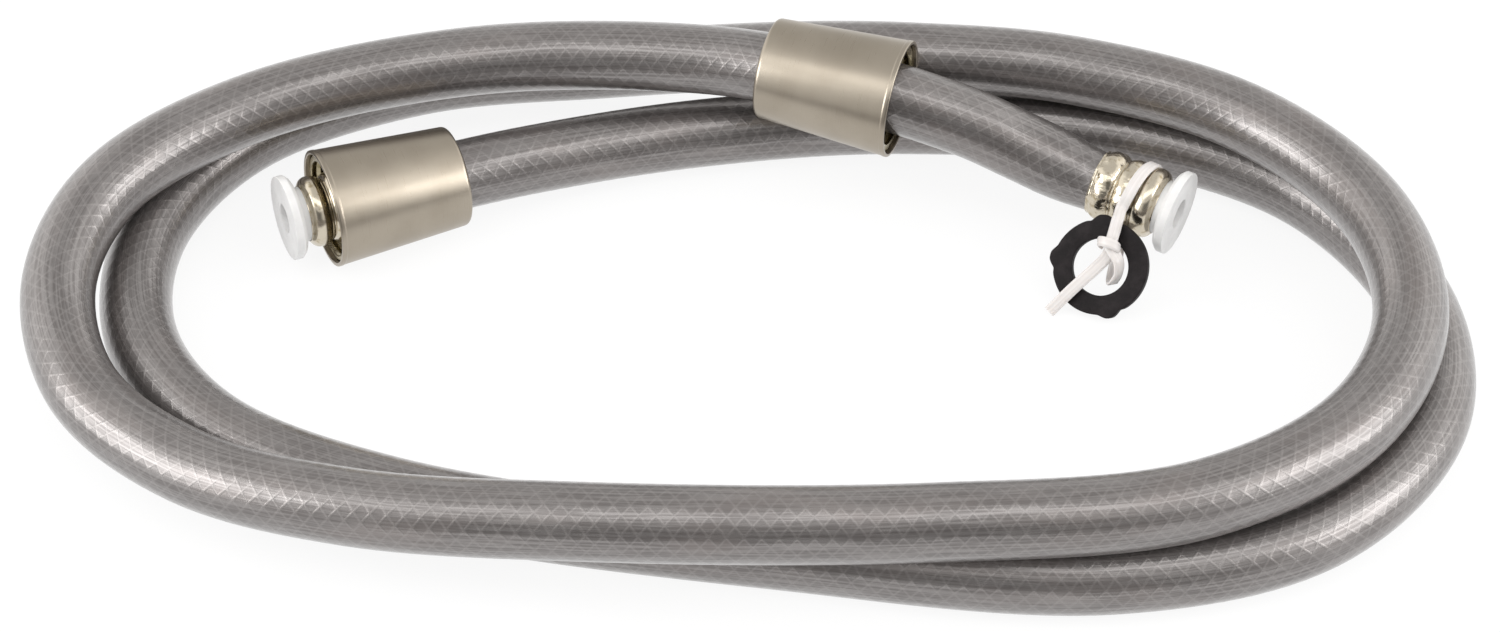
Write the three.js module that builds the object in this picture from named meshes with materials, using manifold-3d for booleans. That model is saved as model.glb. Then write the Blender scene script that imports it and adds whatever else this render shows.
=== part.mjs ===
// A flexible water supply hose with a conical swivel nut at each end, lying in two loose loops.
// Millimetres, +Z up, the surface that it lies on at z = 0, X along the long side of the loops.
import * as THREE from 'three';
import { mergeVertices } from 'three/addons/utils/BufferGeometryUtils.js';
import Module from 'manifold-3d';

const wasm = await Module();
wasm.setup();

// ---------------------------------------------------------------- driving dimensions

const GAP = 0.3;               // left between two pieces that touch
const ROUND = 20;              // sides of a turned piece
const HOSE_END_SIDES = 12;     // sides of the squeezed hose ends
const HOSE_SIDES = 10;         // sides of the hose along its route
const HOSE_STEP = 28;          // two hose diameters
const HOSE_OVERLAP = 1;        // the squeezed ends run this far over the route tube

// Outer and inner radius of each layer, at full size and where the ferrule squeezes it.
const JACKET = { outer: 7.0, inner: 6.1, squeezedOuter: 5.7, squeezedInner: 5.3 };
const BRAID = { outer: 5.5, inner: 5.0, squeezedOuter: 5.0, squeezedInner: 4.65 };
const LINER = { outer: 4.4, inner: 3.4, squeezedOuter: 4.35, squeezedInner: 3.8 };

// Along an end fitting, measured from the sealing face towards the hose.
const FLANGE_RADIUS = 8.5;
const FLANGE_THICKNESS = 2.4;
const NECK_RADIUS = 5.5;
const NECK_END = 3.4;
const STEM_END = 17;
const FERRULE_START = NECK_END + GAP;
const FERRULE_END = 17.6;
const HOSE_FULL_SIZE = 21.5;
const HOSE_START = 22;

const BORE_RADIUS = 2.6;
const BORE_MOUTH_RADIUS = 2.95;
const STEM_RADIUS = 3.2;
const BARB_RADIUS = 3.45;
const BARB_COUNT = 3;

const FERRULE_INNER_RADIUS = 6.0;
const BEAD_COUNT = 3;
const BEAD_PITCH = 4.5;
const BEAD_RADIUS = 7.15;
const VALLEY_RADIUS = 6.45;

// Along a nut, measured from its mouth towards its back.
const NUT_LENGTH = 28;
const NUT_MOUTH_RADIUS = 11.9;
const NUT_BACK_RADIUS = 10.2;
const NUT_WALL = 0.8;
const NUT_HOLE_RADIUS = 8.2;
const NUT_FROM_FLANGE = 8;     // nut A is pushed this far back from the sealing face
const CORE_START = 0.8;
const CORE_END = 13.5;
const SHOULDER = 11.5;
const THREAD_ROOT_RADIUS = 10.0;
const THREAD_CREST_RADIUS = 9.5;
const THREAD_PITCH = 1.814;    // 14 threads to the inch
const THREAD_TURNS = 5;

const SLIP_RING_INNER_RADIUS = 7.9;
const SLIP_RING_OUTER_RADIUS = 9.1;
const SLIP_RING_THICKNESS = 1.1;

const WASHER_RADIUS = 9.5;
const WASHER_HOLE_RADIUS = 5.65;
const WASHER_THICKNESS = 2.1;
const WASHER_EARS = [86, 166, 280];
const EAR_REACH = 0.8;
const EAR_FOOT_ANGLE = 9;        // degrees each side of the ear's middle
const EAR_TIP_ANGLE = 5;

const TIE_RADIUS = 0.75;
const TIE_SLACK = 0.2;
const TIE_START = 7.1;           // along ferrule B, where the tie first meets it
const TIE_DRIFT = 0.35;          // how far it moves along the ferrule from point to point
const TIE_ANGLES = [75, 110, 145, 180, 215, 250, 285];
const KNOT_RADIUS = 1.8;

// The tie's points beside the washer: to its right, up its face and out of its face.
const KNOT_PLACE = [1.5, 5.2, 4.4];
const TIE_OVER_RIM = [1.9, 10.6, 2.6];
const TIE_THROUGH_HOLE = [[2.3, -1.4, -2.6], [2.4, -3.2, 0], [2.1, -1.6, 2.6]];
const TIE_TAIL = [[-5, -2, 4.6], [-11.7, -8.7, 4.9]];

// ---------------------------------------------------------------- places

const SEALING_FACE_A = [-91.6, 17.1, 12.8];
const SEALING_FACE_B = [85.2, 17.4, 13.8];
const NUT_B_MOUTH = [30.5, 37.8, 25.9];
const NUT_B_BACK = [4, 46.9, 26.5];
const WASHER_CENTRE = [69.4, 8.4, 7.95];
const WASHER_RIGHT = [0.940, -0.239, 0.244];
const WASHER_FACE = [-0.342, -0.658, 0.670];

// The hose's centreline from end A to end B: along the back, twice round, over its own first
// turn on the right and at the front, and down to the surface again.
const HOSE_ROUTE = [
  [-71.7, 26.4, 11.3],
  [-45.3, 38.2, 9],
  [-10.3, 48.5, 7.2],
  [31.2, 52.7, 7.1],
  [78.2, 47.7, 7.1],
  [112.2, 30.7, 7.1],
  [130.2, 0.2, 7.1],
  [128, -31.3, 7.2],
  [104.2, -58.3, 7.4],
  [66.2, -68.8, 7.1],
  [5.2, -63.3, 7.1],
  [-65.8, -49.8, 7.1],
  [-100.8, -32.7, 7.3],
  [-117.3, -8.3, 7.1],
  [-118.3, 20.7, 7.1],
  [-102.8, 47.2, 7.1],
  [-69.8, 64.7, 7.1],
  [-29.8, 69.2, 8.1],
  [8.2, 62.2, 16.7],
  [34.2, 56.2, 21.4],
  [66.2, 51.7, 21.6],
  [99.2, 37.5, 21.5],
  [120.2, 11.7, 21.6],
  [123.9, -17.5, 21.4],
  [110.2, -44.8, 21.4],
  [80.2, -63.3, 21.4],
  [32.2, -68.8, 21.4],
  [-29.8, -67.3, 19.9],
  [-71.8, -60.8, 16.5],
  [-102.8, -47.8, 13.1],
  [-124.3, -28.3, 13.1],
  [-131.8, -3.8, 16.6],
  [-124.8, 18.4, 20.4],
  [-100.3, 39.9, 21.5],
  [-56.8, 54.2, 21.9],
  [-9.8, 51.7, 24.6],
  [17, 42.3, 26.9],
  [43.3, 36.6, 21.2],
  [54.4, 33.7, 17.2],
  [66.1, 28.4, 14.4],
];

// ---------------------------------------------------------------- materials

const LOOKS = {
  clearVinyl: { color: 0x8d8988, roughness: 0.35, metalness: 0.2 },
  silverBraid: { color: 0xa9a6a3, roughness: 0.4, metalness: 0.7 },
  whiteLiner: { color: 0xd8d6d0, roughness: 0.6, metalness: 0 },
  nickel: { color: 0xb5a78f, roughness: 0.25, metalness: 1 },
  satinNickel: { color: 0xa39a8b, roughness: 0.38, metalness: 1 },
  brass: { color: 0x9c8a62, roughness: 0.35, metalness: 1 },
  whiteNylon: { color: 0xe8e9ea, roughness: 0.45, metalness: 0 },
  acetal: { color: 0xdedbd2, roughness: 0.5, metalness: 0 },
  rubber: { color: 0x2b2a2c, roughness: 0.7, metalness: 0 },
  tiePlastic: { color: 0xdedcd6, roughness: 0.4, metalness: 0 },
};

function namedMesh(name, geometry, look) {
  const mesh = new THREE.Mesh(geometry, new THREE.MeshStandardMaterial(LOOKS[look]));
  mesh.name = name;
  return mesh;
}

// ---------------------------------------------------------------- geometry helpers

const vector = (xyz) => new THREE.Vector3(...xyz);

// A closed solid turned about local Y from a profile of [radius, distance] pairs.
function turned(profile, sides = ROUND) {
  const points = [...profile, profile[0]].map(([radius, along]) => new THREE.Vector2(radius, along));
  return new THREE.LatheGeometry(points, sides);
}

function solidOf(geometry) {
  const plain = geometry.clone();
  plain.deleteAttribute('normal');
  plain.deleteAttribute('uv');
  const merged = mergeVertices(plain, 1e-4);
  return new wasm.Manifold(new wasm.Mesh({
    numProp: 3,
    vertProperties: merged.attributes.position.array,
    triVerts: new Uint32Array(merged.index.array),
  }));
}

function joined(geometries) {
  const solid = geometries.map(solidOf).reduce((whole, next) => whole.add(next));
  const { vertProperties, triVerts } = solid.getMesh();
  const geometry = new THREE.BufferGeometry();
  geometry.setAttribute('position', new THREE.BufferAttribute(vertProperties, 3));
  geometry.setIndex(new THREE.BufferAttribute(triVerts, 1));
  geometry.computeVertexNormals();
  return geometry;
}

// A regular outline, with a smaller one as a hole when an inner radius is given.
function ringSection(sides, outer, inner) {
  const corners = (radius) => Array.from({ length: sides }, (_, side) => {
    const angle = (2 * Math.PI * side) / sides;
    return new THREE.Vector2(radius * Math.cos(angle), radius * Math.sin(angle));
  });
  const section = new THREE.Shape(corners(outer));
  if (inner) section.holes.push(new THREE.Path(corners(inner)));
  return section;
}

function swept(section, curve, steps) {
  return new THREE.ExtrudeGeometry(section, { steps, extrudePath: curve });
}

// A group at a point on an axis, its local Y pointing along the axis.
function groupAlong(origin, direction) {
  const group = new THREE.Group();
  group.position.copy(origin);
  group.quaternion.setFromUnitVectors(new THREE.Vector3(0, 1, 0), direction);
  group.updateMatrixWorld();
  return group;
}

const alongAxis = (from, to) => groupAlong(from, to.clone().sub(from).normalize());

// ---------------------------------------------------------------- the hose

const route = new THREE.CatmullRomCurve3(HOSE_ROUTE.map(vector), false, 'centripetal');
route.arcLengthDivisions = 2000;
const routeSteps = Math.round(route.getLength() / HOSE_STEP);

const endA = alongAxis(vector(SEALING_FACE_A), vector(HOSE_ROUTE.at(0)));
const endB = alongAxis(vector(SEALING_FACE_B), vector(HOSE_ROUTE.at(-1)));

// One layer: a tube of constant section along the route, necked down inside both ferrules.
function hoseLayer(name, layer, look) {
  const squeezeStart = FERRULE_START + 0.2;
  const joinEnd = HOSE_START + HOSE_OVERLAP;
  const end = turned([
    [layer.squeezedInner, squeezeStart],
    [layer.squeezedOuter, squeezeStart],
    [layer.squeezedOuter, FERRULE_END],
    [layer.outer, HOSE_FULL_SIZE],
    [layer.outer, joinEnd],
    [layer.inner, joinEnd],
    [layer.inner, HOSE_FULL_SIZE],
    [layer.squeezedInner, FERRULE_END],
  ], HOSE_END_SIDES);
  const section = ringSection(HOSE_SIDES, layer.outer, layer.inner);
  const tube = swept(section, route, routeSteps);
  const ends = [endA, endB].map((group) => end.clone().applyMatrix4(group.matrix));
  return namedMesh(name, joined([tube, ...ends]), look);
}

// ---------------------------------------------------------------- the end fittings

// Flanged nylon insert: the sealing flange, a short neck and a barbed stem inside the liner.
function insertGeometry() {
  const profile = [
    [BORE_MOUTH_RADIUS, 0],
    [FLANGE_RADIUS - 0.3, 0],
    [FLANGE_RADIUS, 0.3],
    [FLANGE_RADIUS, FLANGE_THICKNESS - 1],
    [FLANGE_RADIUS - 0.9, FLANGE_THICKNESS],
    [NECK_RADIUS, FLANGE_THICKNESS],
    [NECK_RADIUS, NECK_END],
    [STEM_RADIUS, NECK_END],
  ];
  const barbLength = (STEM_END - NECK_END) / (BARB_COUNT + 0.5);
  for (let barb = 1; barb <= BARB_COUNT; barb += 1) {
    const foot = NECK_END + barb * barbLength;
    profile.push([STEM_RADIUS, foot - 0.1], [BARB_RADIUS, foot], [STEM_RADIUS, foot + 1.2]);
  }
  profile.push([STEM_RADIUS, STEM_END], [BORE_RADIUS, STEM_END], [BORE_RADIUS, 1.2]);
  return turned(profile);
}

// Crimped ferrule: a thin sleeve rolled into three beads, with a short plain skirt behind.
function ferruleGeometry() {
  const skirtRadius = VALLEY_RADIUS + 0.15;
  const profile = [[FERRULE_INNER_RADIUS, FERRULE_START], [VALLEY_RADIUS, FERRULE_START]];
  const middle = (BEAD_RADIUS + VALLEY_RADIUS) / 2;
  const swing = (BEAD_RADIUS - VALLEY_RADIUS) / 2;
  for (let bead = 0; bead < BEAD_COUNT; bead += 1) {
    for (const turn of [0.25, 0.5, 0.75, 1]) {
      const radius = middle - swing * Math.cos(2 * Math.PI * turn);
      profile.push([radius, FERRULE_START + (bead + turn) * BEAD_PITCH]);
    }
  }
  profile.push([skirtRadius, FERRULE_END - 0.3], [skirtRadius, FERRULE_END]);
  profile.push([FERRULE_INNER_RADIUS, FERRULE_END]);
  return turned(profile);
}

function addEndFittings(group, letter) {
  group.add(namedMesh(`insert_${letter}`, insertGeometry(), 'whiteNylon'));
  group.add(namedMesh(`ferrule_${letter}`, ferruleGeometry(), 'nickel'));
}

// ---------------------------------------------------------------- the nuts

const nutTaper = (NUT_MOUTH_RADIUS - NUT_BACK_RADIUS) / NUT_LENGTH;
const shellInside = (along) => NUT_MOUTH_RADIUS - NUT_WALL - nutTaper * along;

// Outer shell: a thin cone, closed at the back down to the hole that the hose runs through.
function nutShellGeometry() {
  const backInside = NUT_LENGTH - 1;
  return turned([
    [shellInside(0), 0],
    [NUT_MOUTH_RADIUS - 0.2, 0],
    [NUT_MOUTH_RADIUS, 0.3],
    [NUT_BACK_RADIUS + nutTaper, NUT_LENGTH - 1],
    [NUT_BACK_RADIUS - 0.3, NUT_LENGTH],
    [NUT_HOLE_RADIUS, NUT_LENGTH],
    [NUT_HOLE_RADIUS, backInside],
    [shellInside(backInside), backInside],
  ], 2 * ROUND);
}

// Threaded core: pressed into the shell's mouth, its shoulder carries the slip ring.
function nutCoreGeometry() {
  const profile = [
    [THREAD_ROOT_RADIUS, CORE_START],
    [shellInside(CORE_START) - GAP, CORE_START],
    [shellInside(CORE_END) - GAP, CORE_END],
    [NUT_HOLE_RADIUS, CORE_END],
    [NUT_HOLE_RADIUS, SHOULDER],
    [THREAD_CREST_RADIUS, SHOULDER],
  ];
  for (let turn = THREAD_TURNS; turn > 0; turn -= 1) {
    const crest = CORE_START + turn * THREAD_PITCH;
    profile.push([THREAD_CREST_RADIUS, crest], [THREAD_ROOT_RADIUS, crest - THREAD_PITCH / 2]);
  }
  return turned(profile);
}

// Slip ring: lies against the shoulder and bears on the back of the flange when it is tight.
function slipRingGeometry() {
  const back = SHOULDER - GAP;
  const front = back - SLIP_RING_THICKNESS;
  return turned([
    [SLIP_RING_INNER_RADIUS, front],
    [SLIP_RING_OUTER_RADIUS, front],
    [SLIP_RING_OUTER_RADIUS, back],
    [SLIP_RING_INNER_RADIUS, back],
  ]);
}

function addNut(group, letter) {
  group.add(namedMesh(`nut_${letter}_shell`, nutShellGeometry(), 'satinNickel'));
  group.add(namedMesh(`nut_${letter}_core`, nutCoreGeometry(), 'brass'));
  group.add(namedMesh(`slip_ring_${letter}`, slipRingGeometry(), 'acetal'));
}

// ---------------------------------------------------------------- the washer and its tie

// Flat rubber washer with three shallow ears on its rim.
function washerGeometry() {
  const outline = new THREE.Shape();
  const corner = (radius, degrees) => {
    const angle = THREE.MathUtils.degToRad(degrees);
    return [radius * Math.cos(angle), radius * Math.sin(angle)];
  };
  const earRadius = WASHER_RADIUS + EAR_REACH;
  outline.moveTo(...corner(WASHER_RADIUS, WASHER_EARS[0] - EAR_FOOT_ANGLE));
  for (const [index, ear] of WASHER_EARS.entries()) {
    const nextEar = WASHER_EARS[index + 1] ?? WASHER_EARS[0] + 360;
    const rimStart = THREE.MathUtils.degToRad(ear + EAR_FOOT_ANGLE);
    const rimEnd = THREE.MathUtils.degToRad(nextEar - EAR_FOOT_ANGLE);
    outline.lineTo(...corner(earRadius, ear - EAR_TIP_ANGLE));
    outline.lineTo(...corner(earRadius, ear + EAR_TIP_ANGLE));
    outline.lineTo(...corner(WASHER_RADIUS, ear + EAR_FOOT_ANGLE));
    outline.absarc(0, 0, WASHER_RADIUS, rimStart, rimEnd);
  }
  const hole = new THREE.Path();
  hole.absarc(0, 0, WASHER_HOLE_RADIUS, 0, 2 * Math.PI);
  outline.holes.push(hole);
  const options = { depth: WASHER_THICKNESS, bevelEnabled: false, curveSegments: 9 };
  return new THREE.ExtrudeGeometry(outline, options).translate(0, 0, -WASHER_THICKNESS / 2);
}

const washerFrame = new THREE.Group();
washerFrame.position.copy(vector(WASHER_CENTRE));
const washerRight = vector(WASHER_RIGHT).normalize();
const washerFace = vector(WASHER_FACE).normalize();
const washerUp = washerFace.clone().cross(washerRight).normalize();
const washerTurn = new THREE.Matrix4().makeBasis(washerUp.clone().cross(washerFace), washerUp, washerFace);
washerFrame.quaternion.setFromRotationMatrix(washerTurn);
washerFrame.updateMatrixWorld();

// Plastic tie: one loop over the ferrule and through the washer, a knot in front and a tail.
function tieGeometry() {
  const inWasher = (xyz) => vector(xyz).applyMatrix4(washerFrame.matrix);
  const knotCentre = inWasher(KNOT_PLACE);
  const loop = new THREE.CatmullRomCurve3([
    knotCentre,
    inWasher(TIE_OVER_RIM),
    ...pointsRoundFerrule(),
    ...TIE_THROUGH_HOLE.map(inWasher),
    knotCentre,
  ], false, 'centripetal');
  const tail = new THREE.CatmullRomCurve3([knotCentre, ...TIE_TAIL.map(inWasher)]);
  const section = ringSection(8, TIE_RADIUS);
  const knot = new THREE.SphereGeometry(KNOT_RADIUS, 12, 8);
  knot.translate(...knotCentre.toArray());
  return joined([swept(section, loop, 40), swept(section, tail, 6), knot]);
}

// From the side that faces the washer, over the top of ferrule B and back underneath it.
function pointsRoundFerrule() {
  const axis = vector([0, 1, 0]).applyQuaternion(endB.quaternion);
  const towardWasher = washerFrame.position.clone().sub(endB.position).projectOnPlane(axis).normalize();
  const upward = axis.clone().cross(towardWasher).normalize();
  if (upward.z < 0) upward.negate();
  const radius = BEAD_RADIUS + GAP + TIE_RADIUS + TIE_SLACK;
  return TIE_ANGLES.map((degrees, index) => {
    const angle = THREE.MathUtils.degToRad(degrees);
    return endB.position.clone()
      .addScaledVector(axis, TIE_START + TIE_DRIFT * index)
      .addScaledVector(towardWasher, radius * Math.cos(angle))
      .addScaledVector(upward, radius * Math.sin(angle));
  });
}

// ---------------------------------------------------------------- the assembly

const supplyHose = new THREE.Group();

supplyHose.add(hoseLayer('hose_jacket', JACKET, 'clearVinyl'));
supplyHose.add(hoseLayer('hose_braid', BRAID, 'silverBraid'));
supplyHose.add(hoseLayer('hose_liner', LINER, 'whiteLiner'));

addEndFittings(endA, 'a');
addEndFittings(endB, 'b');
supplyHose.add(endA, endB);

const nutA = new THREE.Group();
nutA.position.y = NUT_FROM_FLANGE;
endA.add(nutA);
addNut(nutA, 'a');

const nutB = alongAxis(vector(NUT_B_MOUTH), vector(NUT_B_BACK));
supplyHose.add(nutB);
addNut(nutB, 'b');

washerFrame.add(namedMesh('washer', washerGeometry(), 'rubber'));
supplyHose.add(washerFrame);
supplyHose.add(namedMesh('tie', tieGeometry(), 'tiePlastic'));

export default supplyHose;
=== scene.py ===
"""A silver braided supply hose with a conical swivel nut at each end, lying in loose loops.

Metres, +Z up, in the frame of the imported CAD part. Each piece has its own function, and every
material is made of shader nodes.
"""

import math

import bpy
import numpy as np
from mathutils import Matrix, Vector


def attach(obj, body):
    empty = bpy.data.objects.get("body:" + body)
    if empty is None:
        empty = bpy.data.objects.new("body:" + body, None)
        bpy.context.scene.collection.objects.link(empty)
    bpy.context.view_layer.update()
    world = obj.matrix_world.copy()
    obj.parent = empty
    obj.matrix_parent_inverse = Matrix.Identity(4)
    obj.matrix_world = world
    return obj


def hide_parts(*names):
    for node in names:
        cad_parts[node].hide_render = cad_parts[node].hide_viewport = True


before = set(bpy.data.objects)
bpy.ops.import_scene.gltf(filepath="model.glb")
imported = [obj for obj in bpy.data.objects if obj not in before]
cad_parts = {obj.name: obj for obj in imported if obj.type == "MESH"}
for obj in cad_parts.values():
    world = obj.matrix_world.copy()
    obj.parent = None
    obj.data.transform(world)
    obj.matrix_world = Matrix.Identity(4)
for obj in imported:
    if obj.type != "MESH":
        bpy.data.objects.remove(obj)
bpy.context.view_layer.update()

MM = 0.001

# ---------------------------------------------------------------- driving dimensions

HOSE_RADIUS = 7.0 * MM

# Each wall of the hose: its full radius, and its radius where a ferrule squeezes it.
JACKET_OUTSIDE = (HOSE_RADIUS, 5.8 * MM)
JACKET_INSIDE = (6.1 * MM, 5.4 * MM)
BRAID_OUTSIDE = (6.0 * MM, 5.3 * MM)
BRAID_INSIDE = (5.2 * MM, 4.9 * MM)
LINER_OUTSIDE = (4.7 * MM, 4.6 * MM)
LINER_INSIDE = (3.7 * MM, 3.8 * MM)

# How finely the hose's tubes are divided, along and around.
CURVE_STEPS = 40
JACKET_STEP = 0.75 * MM
JACKET_SIDES = 64
LAYER_STEP = 4.0 * MM
LAYER_SIDES = 32

BRAID_STRANDS = 12  # in each direction
BRAID_PITCH = 3.0 * MM  # from strand to strand along the hose
BRAID_RELIEF = 0.012 * MM
LATTICE_SHARE = 0.5
UNEVEN_SHARE = 1.6
UNEVEN_WAVE = 31.0 * MM
UNEVEN_TWIST = 90.0 * MM

# The film and thread colours under the clear jacket.
FILM_DARK = (0.130, 0.117, 0.113)
FILM_LIGHT = (0.228, 0.212, 0.207)
FILM_WARM = (0.230, 0.196, 0.184)
THREAD_COLOUR = (0.31, 0.290, 0.282)

# Along an end fitting, from the sealing face towards the hose.
FLANGE_RADIUS = 8.5 * MM
FLANGE_RIM = 1.5 * MM
FLANGE_THICKNESS = 2.4 * MM
FLANGE_BACK_RADIUS = 7.6 * MM
FLANGE_FACE_RADIUS = 5.2 * MM
FLANGE_DISH = 0.12 * MM
FLANGE_BORE_RADIUS = 2.95 * MM
BORE_STEP = 1.2 * MM
NECK_RADIUS = 5.5 * MM
NECK_END = 4.3 * MM
STEM_RADIUS = 3.3 * MM
STEM_BORE_RADIUS = 2.6 * MM
STEM_END = 17.0 * MM
FERRULE_START = 3.9 * MM
FERRULE_END = 17.6 * MM
FERRULE_WALL = 0.45 * MM
FERRULE_INSIDE_RADIUS = 6.0 * MM
FERRULE_FRONT_RADIUS = 5.65 * MM
FERRULE_FLARE = 0.3 * MM
BEAD_COUNT = 3
BEAD_PITCH = 4.5 * MM
BEAD_HALF_WIDTH = 2.05 * MM
BEAD_RADIUS = 7.15 * MM
VALLEY_RADIUS = 6.2 * MM
CRIMPING_JAWS = 12
CRIMP_REST = 0.6  # how far into the ferrule, as a share, the hose's line runs straight
HOSE_START = 4.5 * MM
SQUEEZE_END = 12.0 * MM
FULL_SIZE = 30.0 * MM

NUT_LENGTH = 28.0 * MM
NUT_MOUTH_RADIUS = 11.9 * MM
NUT_BACK_RADIUS = 10.2 * MM
NUT_WALL = 0.8 * MM
NUT_HOLE_RADIUS = 8.2 * MM
NUT_FROM_FLANGE = 8.0 * MM
CORE_START = 0.8 * MM
CORE_END = 13.5 * MM
CORE_SHOULDER = 11.5 * MM
THREAD_ROOT_RADIUS = 10.0 * MM
THREAD_CREST_RADIUS = 9.5 * MM
THREAD_PITCH = 1.814 * MM
THREAD_RUN_OUT = 1.2 * MM
SLIP_RING_RADII = (7.9 * MM, 9.1 * MM)
SLIP_RING_ENDS = (10.1 * MM, 11.2 * MM)

WASHER_RADIUS = 9.5 * MM
WASHER_HOLE_RADIUS = 5.65 * MM
WASHER_THICKNESS = 2.1 * MM
WASHER_EARS = (86, 166, 280)  # degrees round the rim
EAR_REACH = 0.8 * MM
EAR_TOP_HALF_ANGLE = 2
EAR_FOOT_HALF_ANGLE = 15

STRAP_WIDTH = 2.4 * MM
STRAP_THICKNESS = 0.8 * MM
KNOT_WIDTH = 2.0 * MM
KNOT_THICKNESS = 0.7 * MM
STRAP_STEPS = 14

# ---------------------------------------------------------------- places, as in the CAD part


def millimetres(*xyz):
    return Vector(xyz) * MM


FACE_A = millimetres(-91.6, 17.1, 12.8)
FACE_B = millimetres(85.2, 17.4, 13.8)
NUT_B_MOUTH = millimetres(30.5, 37.8, 25.9)
NUT_B_BACK = millimetres(4, 46.9, 26.5)
WASHER_CENTRE = millimetres(69.4, 8.4, 7.95)
WASHER_RIGHT = Vector((0.940, -0.239, 0.244)).normalized()
WASHER_FACE = Vector((-0.342, -0.658, 0.670)).normalized()

# The hose's centreline from end A to end B.
ROUTE = [
    millimetres(-71.7, 26.4, 11.3),
    millimetres(-45.3, 38.2, 9),
    millimetres(-10.3, 48.5, 7.2),
    millimetres(31.2, 52.7, 7.1),
    millimetres(78.2, 47.7, 7.1),
    millimetres(112.2, 30.7, 7.1),
    millimetres(130.2, 0.2, 7.1),
    millimetres(128, -31.3, 7.2),
    millimetres(104.2, -58.3, 7.4),
    millimetres(66.2, -68.8, 7.1),
    millimetres(5.2, -63.3, 7.1),
    millimetres(-65.8, -49.8, 7.1),
    millimetres(-100.8, -32.7, 7.3),
    millimetres(-117.3, -8.3, 7.1),
    millimetres(-118.3, 20.7, 7.1),
    millimetres(-102.8, 47.2, 7.1),
    millimetres(-69.8, 64.7, 7.1),
    millimetres(-29.8, 69.2, 8.1),
    millimetres(8.2, 62.2, 16.7),
    millimetres(34.2, 56.2, 21.4),
    millimetres(66.2, 51.7, 21.6),
    millimetres(99.2, 37.5, 21.5),
    millimetres(120.2, 11.7, 21.6),
    millimetres(123.9, -17.5, 21.4),
    millimetres(110.2, -44.8, 21.4),
    millimetres(80.2, -63.3, 21.4),
    millimetres(32.2, -68.8, 21.4),
    millimetres(-29.8, -67.3, 19.9),
    millimetres(-71.8, -60.8, 16.5),
    millimetres(-102.8, -47.8, 13.1),
    millimetres(-124.3, -28.3, 13.1),
    millimetres(-131.8, -3.8, 16.6),
    millimetres(-124.8, 18.4, 20.4),
    millimetres(-100.3, 39.9, 21.5),
    millimetres(-56.8, 54.2, 21.9),
    millimetres(-9.8, 51.7, 24.6),
    millimetres(17, 42.3, 26.9),
    millimetres(43.3, 36.6, 21.2),
    millimetres(54.4, 33.7, 17.2),
    millimetres(66.1, 28.4, 14.4),
]

CAMERA_PLACE = millimetres(0.4, -391.3, 400.9)
CAMERA_TARGET = millimetres(0.4, 2.6, 0.1)
CAMERA_LENS = 68.4

# ---------------------------------------------------------------- the camera


def make_camera():
    data = bpy.data.cameras.new("camera")
    data.lens = CAMERA_LENS
    data.sensor_width = 36
    data.clip_start = 0.01
    data.clip_end = 20
    camera = bpy.data.objects.new("camera", data)
    bpy.context.scene.collection.objects.link(camera)
    camera.location = CAMERA_PLACE
    camera.rotation_euler = (CAMERA_TARGET - CAMERA_PLACE).to_track_quat("-Z", "Y").to_euler()
    bpy.context.scene.camera = camera


make_camera()

# ---------------------------------------------------------------- shader helpers


class Shader:
    """A material's node tree, with short calls for the nodes that the looks use."""

    def __init__(self, name):
        self.material = bpy.data.materials.new(name)
        self.material.use_nodes = True
        self.tree = self.material.node_tree
        self.surface = self.tree.nodes["Principled BSDF"]

    def node(self, kind, **settings):
        made = self.tree.nodes.new(kind)
        for key, value in settings.items():
            setattr(made, key, value)
        return made

    def put(self, socket, value):
        if isinstance(value, bpy.types.NodeSocket):
            self.tree.links.new(value, socket)
        else:
            socket.default_value = value

    def math(self, operation, *values):
        made = self.node("ShaderNodeMath", operation=operation)
        for socket, value in zip(made.inputs, values):
            self.put(socket, value)
        return made.outputs[0]

    def split(self, vector):
        made = self.node("ShaderNodeSeparateXYZ")
        self.put(made.inputs[0], vector)
        return made.outputs

    def place(self, scale=(1, 1, 1)):
        """The piece's own coordinates in millimetres, stretched by scale."""
        where = self.node("ShaderNodeTexCoord").outputs["Object"]
        return self.stretched(where, [share / MM for share in scale])

    def stretched(self, vector, scale):
        made = self.node("ShaderNodeVectorMath", operation="MULTIPLY")
        self.put(made.inputs[0], vector)
        made.inputs[1].default_value = scale
        return made.outputs[0]

    def noise(self, vector, scale, detail=2.0, roughness=0.5):
        made = self.node("ShaderNodeTexNoise")
        self.put(made.inputs["Vector"], vector)
        made.inputs["Scale"].default_value = scale
        made.inputs["Detail"].default_value = detail
        made.inputs["Roughness"].default_value = roughness
        return made.outputs["Fac"]

    def ramp(self, value, low, high, to_low=0.0, to_high=1.0):
        made = self.node("ShaderNodeMapRange", interpolation_type="SMOOTHSTEP")
        for socket, number in zip(made.inputs, (value, low, high, to_low, to_high)):
            self.put(socket, number)
        return made.outputs[0]

    def blend(self, factor, first, second):
        made = self.node("ShaderNodeMix", data_type="RGBA")
        self.put(made.inputs["Factor"], factor)
        for socket, colour in zip((made.inputs[6], made.inputs[7]), (first, second)):
            self.put(socket, colour if isinstance(colour, bpy.types.NodeSocket) else (*colour, 1))
        return made.outputs[2]

    def bump(self, height, distance, strength=1.0, under=None):
        """distance is how far the surface rises in metres as height goes from 0 to 1."""
        made = self.node("ShaderNodeBump")
        made.inputs["Strength"].default_value = strength
        made.inputs["Distance"].default_value = distance
        self.put(made.inputs["Height"], height)
        if under is not None:
            self.put(made.inputs["Normal"], under)
        return made.outputs[0]

    def finish(self, **sockets):
        for name, value in sockets.items():
            socket = self.surface.inputs[name.replace("_", " ")]
            if isinstance(value, tuple) and len(value) == 3 and socket.type == "RGBA":
                value = (*value, 1)
            self.put(socket, value)
        return self.material


# ---------------------------------------------------------------- materials


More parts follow.
